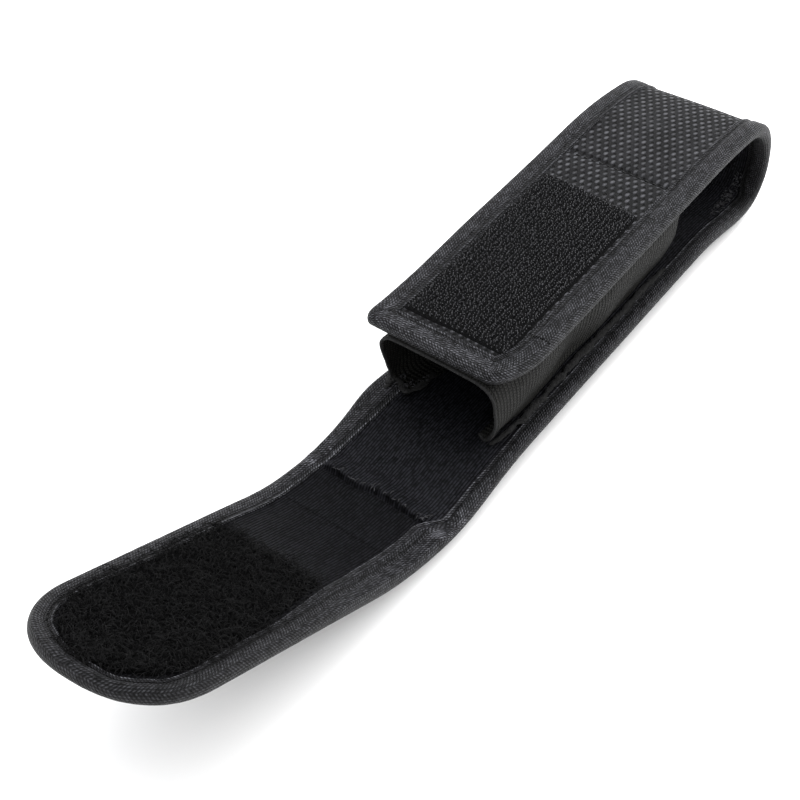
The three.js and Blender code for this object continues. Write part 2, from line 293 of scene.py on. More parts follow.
class Paint:
    """A cloth material, drawn from each point's place on the cloth."""

    def __init__(self, name, roughness, specular):
        self.material = bpy.data.materials.new(name)
        self.material.use_nodes = True
        self.tree = self.material.node_tree
        self.shader = self.tree.nodes["Principled BSDF"]
        self.shader.inputs["Roughness"].default_value = roughness
        self.shader.inputs["Specular IOR Level"].default_value = specular
        place_node = self.node("ShaderNodeAttribute")
        place_node.attribute_name = "weave"
        split = self.node("ShaderNodeSeparateXYZ")
        self.link(place_node.outputs["Vector"], split.inputs[0])
        self.place = place_node.outputs["Vector"]
        # the third channel is painted light: painted highlight above 0, painted shade below 0
        self.s, self.y, self.painted_light = split.outputs

    def node(self, kind):
        return self.tree.nodes.new(kind)

    def link(self, a, b):
        self.tree.links.new(a, b)

    def math(self, operation, a, b=None, clamp=False):
        node = self.node("ShaderNodeMath")
        node.operation = operation
        node.use_clamp = clamp
        for socket, value in zip(node.inputs, (a, b)):
            if isinstance(value, (int, float)):
                socket.default_value = value
            elif value is not None:
                self.link(value, socket)
        return node.outputs[0]

    def add(self, a, b):
        return self.math("ADD", a, b)

    def times(self, a, b):
        return self.math("MULTIPLY", a, b)

    def fold(self, value, pitch):
        """Where a value is within its repeat, from -0.5 to 0.5."""
        return self.add(self.math("FRACT", self.times(value, 1 / pitch)), -0.5)

    def cell(self, value, pitch):
        return self.math("FLOOR", self.times(value, 1 / pitch))

    def hash(self, a, b):
        """A random number for each pair of cells."""
        join = self.node("ShaderNodeCombineXYZ")
        self.link(a, join.inputs[0])
        self.link(b, join.inputs[1])
        white = self.node("ShaderNodeTexWhiteNoise")
        white.noise_dimensions = "2D"
        self.link(join.outputs[0], white.inputs["Vector"])
        return white.outputs["Value"]

    def cloud(self, scale, detail=3.0):
        """Soft noise about 0, its features 1 / scale millimetres wide."""
        texture = self.node("ShaderNodeTexNoise")
        texture.inputs["Scale"].default_value = scale
        texture.inputs["Detail"].default_value = detail
        self.link(self.place, texture.inputs["Vector"])
        return self.add(texture.outputs["Fac"], -0.5)

    def mound(self, a, b, wide, high):
        """A round-topped oval from 0 to 1."""
        across = self.math("POWER", self.times(a, 1 / wide), 2.0)
        along = self.math("POWER", self.times(b, 1 / high), 2.0)
        return self.math("SUBTRACT", 1.0, self.add(across, along), clamp=True)

    def color(self, level, dark, light, past=False):
        """Paints from dark to light as level goes from 0 to 1, and lighter past 1 if asked."""
        blend = self.node("ShaderNodeMix")
        blend.data_type = "RGBA"
        blend.clamp_factor = not past
        blend.inputs["A"].default_value = (*dark, 1)
        blend.inputs["B"].default_value = (*light, 1)
        self.link(level, blend.inputs["Factor"])
        self.link(blend.outputs["Result"], self.shader.inputs["Base Color"])

    def relief(self, height, depth):
        """Raises the surface with height, by depth in millimetres from 0 to 1."""
        bump = self.node("ShaderNodeBump")
        bump.inputs["Distance"].default_value = depth * MM
        self.link(height, bump.inputs["Height"])
        self.link(bump.outputs["Normal"], self.shader.inputs["Normal"])

    def rough(self, level, low, high):
        """Runs the roughness from low to high as level goes from 0 to 1."""
        span = self.node("ShaderNodeMapRange")
        span.inputs["To Min"].default_value = low
        span.inputs["To Max"].default_value = high
        self.link(level, span.inputs["Value"])
        self.link(span.outputs["Result"], self.shader.inputs["Roughness"])


def grey(level, warm=0.0):
    """A near-black colour; warm above 0 leans to olive and below 0 to blue."""
    return (level * (1 + 0.5 * warm), level * (1 + 0.4 * warm), level * (1 - 1.2 * warm))


def shell_paint():
    """Packcloth: staggered raised yarns on a flatter, finer ground, with painted highlights and shadows.
    """
    p = Paint("packcloth", 0.5, specular=0.08)
    pitch_s, pitch_y = 4.7, 1.31
    row = p.cell(p.y, pitch_y)
    shift = p.times(p.math("MODULO", p.math("ABSOLUTE", row), 2.0), 0.5)
    along = p.add(p.times(p.s, 1 / pitch_s), shift)
    a = p.times(p.add(p.math("FRACT", along), -0.5), pitch_s)
    b = p.times(p.fold(p.y, pitch_y), pitch_y)
    # The yarns' tops are painted lighter: partly each yarn's own random tone, partly a painted highlight.
    # The pit beside each yarn is a dip in the relief and also painted shadow in the colour.
    yarn = p.mound(p.add(a, p.times(b, -0.55)), p.add(b, p.times(a, 0.16)), 1.12, 0.74)
    shaded_pit = p.mound(p.add(a, 0.95), p.add(b, -0.30), 0.95, 0.62)
    strand = p.math("ABSOLUTE", p.times(p.fold(p.add(p.s, p.times(p.y, 1.7)), 0.78), 2.0))
    lot = p.hash(p.math("FLOOR", along), row)
    yarn_tone_and_highlight = p.times(p.math("POWER", yarn, 0.7), p.add(p.times(lot, 0.7), 0.45))
    mottle = p.add(p.times(p.cloud(0.10), 0.30), p.times(p.cloud(2.2), 0.30))
    ground = p.add(p.times(strand, 0.16), mottle)
    # painted highlight on the yarns, minus painted shadow in the pits
    level = p.add(p.add(yarn_tone_and_highlight, ground), p.times(shaded_pit, -0.30))
    level = p.math("MAXIMUM", level, 0.0)
    p.color(level, grey(0.0026, -0.03), grey(0.068, -0.06))
    p.relief(p.add(yarn, p.add(p.times(strand, 0.12), p.times(shaded_pit, -0.5))), 0.6)
    p.rough(yarn, 0.70, 0.42)
    return p.material


def tape_paint(name, dark, light, warm):
    """Binding: a fine herringbone, its bands turning every few millimetres, mottled, with painted
    highlights and painted shade.
    """
    p = Paint(name, 0.5, specular=0.11)
    band = p.math("MODULO", p.math("ABSOLUTE", p.cell(p.y, 3.1)), 2.0)
    slant = p.times(p.add(p.times(band, 2.0), -1.0), 0.9)
    twill = p.math("ABSOLUTE", p.times(p.fold(p.add(p.s, p.times(p.y, slant)), 1.0), 2.0))
    warp = p.math("ABSOLUTE", p.times(p.fold(p.y, 0.74), 2.0))
    lot = p.hash(p.cell(p.s, 1.0), p.cell(p.y, 0.74))
    knot = p.times(p.math("SUBTRACT", 1.0, twill), p.math("SUBTRACT", 1.1, warp))
    level = p.times(p.times(knot, p.add(p.times(lot, 1.1), 0.5)), 1.3)
    level = p.add(level, p.times(p.cloud(0.30), 0.7))
    level = p.add(level, p.times(p.cloud(1.2), 0.45))
    level = p.math("POWER", p.math("MAXIMUM", level, 0.02), 1.35)
    # the painted highlights and painted shade carried by each point lighten and darken the tape
    level = p.times(level, p.math("MAXIMUM", p.add(p.painted_light, 1.0), 0.05))
    p.color(level, grey(dark, warm), grey(light, warm), past=True)
    p.relief(p.add(knot, p.times(p.cloud(0.8), 0.5)), 0.55)
    return p.material


def lining_paint():
    """Smooth cloth with fine ribs along the strip."""
    p = Paint("lining_knit", 0.6, specular=0.03)
    rib = p.math("SUBTRACT", 1.0, p.math("POWER", p.times(p.fold(p.y, 0.82), 2.0), 2.0))
    lot = p.hash(p.cell(p.s, 0.6), p.cell(p.y, 0.82))
    level = p.times(p.math("POWER", rib, 1.3), p.add(p.times(lot, 1.1), 0.2))
    level = p.add(level, p.add(p.times(p.cloud(0.1), 0.4), p.times(p.cloud(1.4), 0.45)))
    # painted shade darkens the flap's lining
    level = p.times(p.math("MAXIMUM", level, 0.0), p.add(p.painted_light, 1.0))
    p.color(level, grey(0.0009, -0.08), grey(0.0150, -0.12))
    p.relief(p.add(rib, p.times(p.cloud(0.6), 0.5)), 0.2)
    return p.material


def elastic_paint():
    """Ribbed elastic: upright ribs crossed by small slanting stitches."""
    p = Paint("elastic_knit", 0.6, specular=0.06)
    rib = p.fold(p.s, 1.45)
    bow = p.math("SUBTRACT", 1.0, p.math("POWER", p.times(rib, 2.0), 2.0))
    stitch = p.math("ABSOLUTE", p.fold(p.add(p.y, p.times(p.math("ABSOLUTE", rib), 1.3)), 0.95))
    level = p.times(bow, p.add(p.times(stitch, 1.9), 0.10))
    level = p.add(level, p.add(p.times(p.cloud(0.9), 0.4), p.times(p.cloud(0.08), 0.3)))
    level = p.math("MAXIMUM", level, 0.0)
    p.color(level, grey(0.0012, 0.04), grey(0.022, 0.05))
    p.relief(p.add(bow, stitch), 0.34)
    return p.material


def plain_paint(name, dark, light, warm, size, depth, specular, roughness=0.7):
    """Small goods: mottled colour and a fine uneven surface."""
    p = Paint(name, roughness, specular)
    level = p.add(p.times(p.cloud(size, 4.0), 1.6), 0.5)
    p.color(level, grey(dark, warm), grey(light, warm))
    p.relief(p.cloud(size * 2, 4.0), depth)
    return p.material


def webbing_paint():
    """Belt webbing: chevron ribs across the strap."""
    p = Paint("webbing", 0.5, specular=0.25)
    chevron = p.fold(p.add(p.s, p.math("ABSOLUTE", p.times(p.fold(p.y, 7.5), 7.5))), 1.9)
    rib = p.math("SUBTRACT", 1.0, p.math("POWER", p.times(chevron, 2.0), 2.0))
    cross = p.math("ABSOLUTE", p.fold(p.y, 0.9))
    level = p.add(p.times(rib, p.add(p.times(cross, 1.2), 0.3)), p.times(p.cloud(0.5), 0.4))
    p.color(level, grey(0.003, -0.03), grey(0.030, -0.03))
    p.relief(p.add(rib, cross), 0.35)
    return p.material


SHELL = shell_paint()
TAPE = tape_paint("binding_tape", 0.0014, 0.058, -0.07)
LINING = lining_paint()
ELASTIC = elastic_paint()
HOOK_BASE = plain_paint("hook_base", 0.001, 0.004, -0.06, 1.2, 0.3, specular=0.05)
HOOKS = plain_paint("hooks", 0.004, 0.044, -0.08, 0.8, 0.05, roughness=0.35, specular=0.5)
LOOP_BASE = plain_paint("loop_base", 0.0006, 0.003, -0.03, 0.9, 0.8, roughness=0.9, specular=0.02)
FUZZ = plain_paint("loop_fuzz", 0.0001, 0.012, -0.02, 0.35, 0.05, roughness=0.6, specular=0.05)
THREAD = plain_paint("thread", 0.002, 0.008, -0.03, 2.0, 0.05, roughness=0.45, specular=0.15)
RAW_EDGE = plain_paint("raw_edge", 0.002, 0.028, -0.01, 1.5, 0.5, specular=0.12)
LOOSE = plain_paint("loose_yarn", 0.004, 0.060, -0.05, 0.8, 0.1, specular=0.1)
RIM = plain_paint("elastic_hem", 0.004, 0.026, -0.01, 1.5, 0.3, specular=0.12)
WEBBING = webbing_paint()


# ---------------------------------------------------------------- the padded strip


TIP_POWER = 2.35  # 2 would be round
TIP = HALF - 0.6  # how far the round end reaches


def tip_limit(s, inset):
    """Half the flap's width at a station, inset from its outline."""
    radius = HALF - inset
    ahead = np.clip((HALF - s) / (TIP - inset), 0, 1)
    return radius * (1 - ahead**TIP_POWER) ** (1 / TIP_POWER)


# The mouth's two corners: how far each runs along the strip and across it.
CORNER = {1: (3.8, 2.2), -1: (20.0, 9.0)}


def mouth_limit(s, inset, side):
    """Half the front's width on one side, inset from its outline."""
    long, wide = CORNER[side][0] - inset * 0.5, max(CORNER[side][1] - inset, 0.6)
    past = np.clip((s - (MOUTH - inset - long)) / long, 0, 1)
    narrow = 0.5 * dip(s - (MOUTH - 24), 16) if side > 0 else 0
    return HALF - inset - narrow - wide + wide * np.sqrt(1 - past**2)


def crease_line(y):
    """Station of the crease's tuck, which wanders a little."""
    return CREASE - 0.6 + 0.8 * noise(y, 3, 5, 7) + 0.4 * noise(y, 9, 6, 2.2)


def lining_height(s, y):
    """How far the lining stands off its flat face: quilting, the crease's tuck and a faint seam."""
    high = 0.22 * noise(s, y, 11, 16) + 0.08 * noise(s, y, 12, 5)
    past = s - crease_line(y)
    lip = 1.15 + 0.35 * noise(y, 0, 7, 4) + 0.08 * noise(y, 5, 9, 1.3)
    lip = lip * ramp(past, -0.3, 0.3) * (1 - ramp(past, 0.5, 6.5))
    gap = -(0.7 + 0.3 * noise(y, 4, 8, 3)) * dip(past + 0.5, 0.45)
    roll = 0.5 * dip(past + 3.4, 1.6) * ramp(y, -6, 10)
    high = high + (lip + gap + roll) * (1 - ramp(abs(y), 16, 18.5))
    faint = 0.35 * dip(s - (CREASE + 13 + 0.05 * y), 1.0) * (1 - ramp(abs(y + 4), 8, 13))
    return high - faint


# The two stretches where the belt loop is sewn down.
BELT_SEWN = [(CREASE + 2.5, CREASE + 14.5), (FLAT + 50.0, FLAT + 64.0)]


def cross_seam(y):
    """How far the cross seam lies from the mouth."""
    return 96.6 - 0.035 * y


def shell_height(s, y):
    """How far the shell stands off its flat face: padding, and the seams pulled into it."""
    m = MOUTH - s
    padding = 0.30 * (1 - (y / HALF) ** 2) + 0.14 * noise(s, y, 21, 18)
    seam = 0.95 * dip(m - cross_seam(y), 1.2)
    bulge = 0.55 * dip(m - 89, 5.5) * dip(y + 2, 15)
    belt = sum(dip(s - at, 1.4) for start, end in BELT_SEWN for at in (start + 3, end - 3))
    tacks = 0.4 * belt * (1 - ramp(abs(y), 14, 17))
    return padding + bulge - seam - tacks


def panel(name, stations, left, right, across=45):
    """A closed padded stretch of strip, lining on one face and shell on the other."""
    s = stations[:, None]
    v = np.linspace(-1, 1, across)[None, :]
    middle, half = (left - right)[:, None] / 2, (left + right)[:, None] / 2
    y_in = middle - v * half
    y_out = middle + v * half
    inner = FACE + lining_height(s, y_in)
    outer = -FACE - shell_height(s, y_out)
    y = np.concatenate([y_in, y_out], 1)
    n = np.concatenate([inner, outer], 1)
    station = np.broadcast_to(s, y.shape)
    points = place(station, y, n)
    faces = slab_faces(len(y), across)
    which = ((faces % (2 * across)).max(1) >= across).astype(int)
    # painted shade: the flap's lining is painted darker than the pocket's
    painted_light = -0.55 * (1 - ramp(station, CREASE - 2, CREASE))  # the flap's lining is darker
    ob = make(name, points, faces, [LINING, SHELL], np.stack([station, y, painted_light], -1), which)
    return ob


# ---------------------------------------------------------------- binding


def edge_run(s0, s1, side):
    """Path points along a straight edge: station, y and the inward direction."""
    count = max(2, int(abs(s1 - s0) / PATH_STEP) + 1)
    s = np.linspace(s0, s1, count)
    one = np.ones(count)
    return np.stack([s, side * HALF * one, 0 * one, -side * one], -1)


def tip_run():
    """Path points round the flap's tip."""
    angle = np.linspace(math.pi / 2, 3 * math.pi / 2, int(math.pi * HALF / PATH_STEP))[1:-1]
    out = np.stack([np.cos(angle), np.sin(angle)], -1)
    line = np.array([TIP, HALF]) * np.sign(out) * abs(out) ** (2 / TIP_POWER)
    facing = np.sign(out) * abs(out) ** (2 - 2 / TIP_POWER)
    facing /= np.linalg.norm(facing, axis=1, keepdims=True)
    return np.concatenate([np.array([HALF, 0]) + line, -facing], -1)


def mouth_run():
    """Path points along the front's left edge, round its corners and along its right edge."""
    legs = []
    for side in (1, -1):
        long, wide = CORNER[side]
        near = MOUTH - long
        turn = np.linspace(0, math.pi / 2, 26)[1:]
        straight = np.arange(SPLIT_TOE, near, PATH_STEP)
        s = np.concatenate([straight, [near], near + long * np.sin(turn)])
        y = side * mouth_limit(s, 0, side)
        legs.append(np.stack([s, y], -1))
    first, last = legs[0][-1, 1] - PATH_STEP, legs[1][-1, 1] + PATH_STEP / 2
    across = np.arange(first, last, -PATH_STEP)
    line = np.concatenate([legs[0], np.stack([MOUTH + 0 * across, across], -1), legs[1][::-1]])
    ahead = np.gradient(line, axis=0)
    ahead /= np.linalg.norm(ahead, axis=1, keepdims=True)
    return np.concatenate([line, ahead[:, 1:], -ahead[:, :1]], -1)


def reaches(path):
    """How far in the tape and its stitched groove lie, on the lining's side and the shell's."""
    s, y = path[:, 0], path[:, 1]
    left = ramp(y, -18, 18)
    tip = 1 - ramp(s, 6, 26)
    crease = ramp(s, CREASE - 4, CREASE + 4)
    inside = ramp(s, CREASE + 4, CREASE + 28)
    wider = ramp(s, 42, 84)
    flap = left * 6.0 + (1 - left) * (6.2 + 3.4 * wider)
    back = left * (7.0 + 1.6 * inside) + (1 - left) * 5.0
    lining = flap * (1 - crease) + back * crease
    lining = lining * (1 - tip) + (4.9 + 0.8 * ramp(y, 2, 14) - 0.7 * dip(y + 11, 6)) * tip
    groove = left * 4.6 + (1 - left) * (4.4 + 1.2 * wider)
    groove = groove * (1 - crease) + (lining - 1.5) * crease
    groove = groove * (1 - tip) + (lining - 1.5) * tip
    shell = 7.0 + 0.6 * (1 - left)
    wander = 0.28 * noise(s, y * 3, 31, 9)
    front = ramp(s, TOE, TOE + 10)
    lining = lining * (1 - front) + 7.0 * front
    groove = groove * (1 - front) + 5.6 * front
    return lining + wander, groove + wander, shell + wander, shell - 1.5 + wander


def mitre(s, y, depth, path):
    """Keeps the tape's inner parts at their depth from both edges near the mouth's corners."""
    near = (path[:, :1] > MOUTH - 30) & (depth >= 0)
    s = np.where(near, np.minimum(s, MOUTH - depth), s)
    limit = HALF - depth
    return s, np.where(near, np.clip(y, -limit, limit), y)


def tape_profile(reach, groove):
    """Depth in from the edge and height of the tape from its inner edge to the strip's edge."""
    t = np.concatenate([np.linspace(0, 1, 9)[:-1], 1 + np.linspace(0, 1, 15)])
    reach, groove = reach[:, None], groove[:, None]
    flat = t < 1
    depth = np.where(flat, reach + (groove - reach) * t, groove * (1 - (t - 1)) ** 1.5)
    band = np.clip((reach - depth) / (reach - groove), 0, 1)
    lip = 1.35 + 0.75 * ramp(band, 0, 0.14) * (1 - 0.35 * ramp(band, 0.3, 0.9))
    lip = lip + 0.1 * np.sin(math.pi * band)
    roll = np.clip(1 - (1 - np.clip(depth / 1.7, 0, 1)) ** 2.4, 0, 1) ** (1 / 2.4)
    crown = np.sin(math.pi * np.clip(depth / groove, 0, 1))
    pillow = (GROOVE + (EDGE - GROOVE) * np.clip(crown * 2.2, 0, 1)) * roll + 0.30 * crown
    return depth, np.where(flat, lip, pillow)


def binding(name, path):
    """Tape folded over the strip's edge along a path. Returns the tape and its stitches."""
    step = np.linalg.norm(np.diff(path[:, :2], axis=0), axis=1)
    along = path[0, 0] + np.concatenate([[0], np.cumsum(step)])
    in_reach, in_groove, out_reach, out_groove = reaches(path)
    depth_in, high_in = tape_profile(in_reach, in_groove)
    depth_out, high_out = tape_profile(out_reach, out_groove)
    depth = np.concatenate([depth_in, depth_out[:, ::-1][:, 1:]], 1)
    high = np.concatenate([high_in, -high_out[:, ::-1][:, 1:]], 1)
    kink = dip(path[:, 0] - CREASE, 7)[:, None]
    far_along = along[:, None]
    pucker = 0.07 * noise(far_along, depth * 2, 41, 2.2) + 0.10 * noise(far_along, depth, 42, 9)
    pucker = pucker + kink * 0.55 * noise(far_along, depth * 1.3, 43, 2.6)
    high = high + np.sign(high) * pucker * ramp(depth, 0, 1.5)
    s = path[:, 0:1] + path[:, 2:3] * depth
    y = path[:, 1:2] + path[:, 3:4] * depth
    s, y = mitre(s, y, depth, path)
    points = place(s, y, high)
    round_it = np.linalg.norm(np.diff(points, axis=1), axis=2) / MM
    round_it = np.concatenate([np.zeros((len(path), 1)), np.cumsum(round_it, 1)], 1)
    inside = (high > 0) * 1.0
    far = 1.0 * (path[:, :1] > TOE - 6)
    reach = np.where(inside > 0, in_reach[:, None], out_reach[:, None])
    groove = np.where(inside > 0, in_groove[:, None], out_groove[:, None])
    # Painted light on the tape: a painted highlight along the inner lip, painted shade in the stitched
    # groove, the inner band darker towards its inner edge, painted highlights on the puckers at the
    # crease, painted light on the outer face by the mouth, painted shade on the lining side inside the
    # bottom and front, and painted shade towards the flap's tip.
    tape_light_and_shade = 1.15 * dip(depth - reach + 0.45, 0.4) * inside * (1 - far)
    tape_light_and_shade = tape_light_and_shade - 0.7 * dip(depth - groove, 0.5) - 0.35 * ramp(depth, groove, reach) * inside
    tape_light_and_shade = tape_light_and_shade + 2.2 * kink * ramp(noise(far_along, depth, 44, 2.4), 0.05, 0.6) * inside
    tape_light_and_shade = tape_light_and_shade + 0.42 * ramp(path[:, :1], MOUTH - 12, MOUTH - 3) * (1 - inside)
    tape_light_and_shade = tape_light_and_shade - 0.55 * far * inside - 0.35 * (1 - ramp(path[:, :1], 30, 110))
    weave = np.stack([np.broadcast_to(far_along, depth.shape), round_it, tape_light_and_shade], -1)
    ob = make(name, points, grid_faces(*depth.shape), TAPE, weave)
    seams = stitches(name + "_stitches", path, along, [(in_groove, 1), (out_groove, -1)])
    return ob, seams


STITCH_PITCH = 3.0
STITCH_LENGTH = 2.1
THREAD_RADIUS = 0.24


def stitches(name, path, along, lines):
    """Thread lying in the tape's groove, one stitch after another."""
    runs = []
    for groove, side in lines:
        for start in np.arange(along[0] + 1.0, along[-1] - STITCH_LENGTH, STITCH_PITCH):
            t = np.linspace(start, start + STITCH_LENGTH, 5)
            columns = [np.interp(t, along, path[:, k]) for k in range(4)]
            depth = np.interp(t, along, groove)
            s, y = columns[0] + columns[2] * depth, columns[1] + columns[3] * depth
            at = (s[:, None], y[:, None], depth[:, None], np.stack(columns, -1))
            s, y = (v.ravel() for v in mitre(*at))
            sag = np.array([-0.12, 0.10, 0.16, 0.10, -0.12])
            runs.append(place(s, y, side * ((1.45 if side > 0 else GROOVE) + sag)))
    points, faces = tubes(runs, THREAD_RADIUS * MM)
    ob = make(name, points, faces, THREAD, points / MM)
    return ob


# ---------------------------------------------------------------- hook and loop tape


HOOK_SIDES = (-16.2, 16.8)
LOOP_ENDS = (5.4, TONGUE - 7.8)
LOOP_SIDES = (-18.5, 18.7)
LOOP_FIBRES = 6000


def hook_end(y):
    """How far the hook tape's far end lies from the mouth."""
    return 80.8 + 0.07 * y


def hook_patch():
    """Hook tape on the front: a woven base and its rows of small hooks."""
    y = np.linspace(*HOOK_SIDES, 61)[None, :]
    m_near = 8.6 + 0.5 * noise(y, 1, 51, 8)
    m_far = hook_end(y) + 0.3 * noise(y, 2, 52, 5)
    t = np.linspace(0, 1, 121)[:, None]
    m = m_near + (m_far - m_near) * t
    sides = np.minimum(y - HOOK_SIDES[0], HOOK_SIDES[1] - y)
    edge = np.minimum(np.minimum(m - m_near, m_far - m), sides)
    high = FACE + 0.05 + 0.75 * ramp(edge, 0, 0.8) + 0.25 * (1 - (y / HALF) ** 2)
    y = np.broadcast_to(y, m.shape)
    points = place(MOUTH - m, y, -high)
    weave = np.stack([MOUTH - m, y], -1)
    base = make("hook_tape", points, grid_faces(*m.shape), HOOK_BASE, weave, flip=True)
    rng = np.random.default_rng(61)
    runs = []
    for i, across in enumerate(np.arange(-15.7, 16.5, 0.92)):
        for m0 in np.arange(9.2 + 0.5 * (i % 2), hook_end(across) - 0.7, 1.0):
            lean = (1 if i % 2 else -1) * rng.uniform(0.3, 0.85)
            turn = rng.uniform(-0.7, 0.7)
            a = np.linspace(0, 1, 7)
            reach = lean * (0.15 * a + 0.75 * np.sin(a * math.pi * 0.75) ** 2)
            rise = 1.15 * np.sin(a * math.pi * 0.62) * rng.uniform(0.7, 1.15)
            lift = FACE + 0.72 + 0.25 * (1 - (across / HALF) ** 2)
            jitter = rng.uniform(-0.2, 0.2, 2)
            s = MOUTH - (m0 + jitter[0] + reach * math.cos(turn))
            runs.append(place(s, across + jitter[1] + reach * math.sin(turn), -(lift + rise)))
    points, faces = tubes(runs, 0.17 * MM, sides=4, taper=0.7)
    hooks = make("hooks", points, faces, HOOKS, points / MM)
    return [base, hooks]


def loop_limits(s):
    """The loop tape's two sides at a station, with its round end at the flap's tip."""
    middle, half = sum(LOOP_SIDES) / 2, (LOOP_SIDES[1] - LOOP_SIDES[0]) / 2
    short = np.clip(LOOP_ENDS[0] + half - s, 0, half)
    wide = np.sqrt(np.clip(half**2 - short**2, 0.01, None))
    return middle - wide + 4.6 * ramp(s, 38, 78), middle + wide


def loop_patch():
    """Loop tape inside the flap: a dark napped base and its tangle of fibres."""
    near_tip = LOOP_ENDS[0] + np.linspace(0, 1, 14)[:-1] ** 2 * 8
    s = np.concatenate([near_tip, np.arange(13.4, LOOP_ENDS[1], 0.8)])[:, None]
    low, high_y = loop_limits(s)
    v = np.linspace(0, 1, 52)[None, :]
    y = low + (high_y - low) * v
    s = np.broadcast_to(s, y.shape)
    edge = np.minimum(np.minimum(y - low, high_y - y), LOOP_ENDS[1] - s + 0.3 * noise(y, 0, 71, 3))
    nap = 0.35 * noise(s, y, 72, 1.6) + 0.45 * noise(s, y, 73, 3.4)
    high = FACE - 0.2 + (1.1 + nap) * ramp(edge, -0.2, 1.4)
    base = make("loop_tape", place(s, y, high), grid_faces(*y.shape), LOOP_BASE, np.stack([s, y], -1))
    rng = np.random.default_rng(81)
    count, knots = LOOP_FIBRES, 8
    s0 = rng.uniform(LOOP_ENDS[0] - 0.3, LOOP_ENDS[1] + 0.5, count)
    low, high_y = loop_limits(s0)
    y0 = rng.uniform(low - 0.4, high_y + 0.4)
    clump = noise(s0, y0, 73, 3.4)
    heading = rng.uniform(0, 2 * math.pi, count)
    curl = rng.normal(0, 2.0, count)
    span = rng.uniform(1.4, 4.6, count)
    t = np.linspace(0, 1, knots)
    runs = []
    for k in range(count):
        angle = heading[k] + curl[k] * t
        s = s0[k] + np.cumsum(np.cos(angle)) * span[k] / knots
        y = y0[k] + np.cumsum(np.sin(angle)) * span[k] / knots
        rise = FACE + 0.75 + 0.45 * clump[k]
        rise = rise + rng.uniform(0.3, 1.4) * np.sin(math.pi * t) + 0.2 * rng.normal()
        runs.append(place(s, y, rise))
    points, faces = tubes(runs, 0.085 * MM, sides=3, taper=0.6)
    lot = np.repeat(rng.uniform(0, 400, (count, 3)), len(points) // count, axis=0)
    fuzz = make("loop_fuzz", points, faces, FUZZ, lot)
    return [base, fuzz]


# ---------------------------------------------------------------- elastic


def spline(points, count):
    """A smooth line through control points, evenly spaced."""
    points = np.asarray(points, float)
    padded = np.concatenate([[2 * points[0] - points[1]], points, [2 * points[-1] - points[-2]]])
    fine = []
    for a, b, c, d in zip(padded, padded[1:], padded[2:], padded[3:]):
        t = np.linspace(0, 1, 24, endpoint=False)[:, None]
        slope, bend, turn = c - a, 2 * a - 5 * b + 4 * c - d, 3 * b - a - 3 * c + d
        fine.append(0.5 * (2 * b + slope * t + bend * t**2 + turn * t**3))
    fine = np.concatenate([*fine, [points[-1]]])
    along = np.concatenate([[0], np.cumsum(np.linalg.norm(np.diff(fine, axis=0), axis=1))])
    even = np.linspace(0, along[-1], count)
    return np.stack([np.interp(even, along, fine[:, k]) for k in range(fine.shape[1])], -1)


# The arch's edge at the mouth, as x, y and z from the left hem over the top to the right foot, and
# its section further in, as y and z.
ARCH_NEAR = [
    (6.6, 13.4, 2.7), (8.0, 16.5, 2.4), (8.6, 19.6, 2.7), (7.8, 20.9, 5.0), (5.6, 20.3, 10.0),
    (3.4, 19.7, 15.0), (1.2, 19.3, 21.0), (0.5, 18.6, 25.4), (0.5, 15.6, 28.0), (0.6, 9.0, 28.3),
    (0.6, 0.0, 28.3), (0.6, -8.0, 28.2), (0.5, -13.8, 27.8), (0.5, -17.4, 26.0), (0.5, -19.4, 22.6),
    (0.5, -20.3, 18.4), (0.7, -20.4, 14.0), (1.6, -18.6, 9.0), (2.8, -16.2, 5.0), (4.0, -14.6, 2.8),
    (5.5, -12.0, 2.3),
]
ARCH_FAR = [
    (10.0, 2.3), (13.0, 2.3), (15.6, 2.6), (17.2, 4.2), (18.6, 9.0), (20.0, 15.0), (20.6, 21.0),
    (19.8, 25.4), (16.5, 28.2), (9.0, 28.4), (0.0, 28.4), (-9.0, 28.4), (-15.0, 28.2), (-19.0, 26.2),
    (-20.6, 22.6), (-20.8, 18.4), (-20.2, 14.0), (-18.8, 9.0), (-17.3, 4.6), (-15.6, 2.5), (-12.0, 2.3),
]


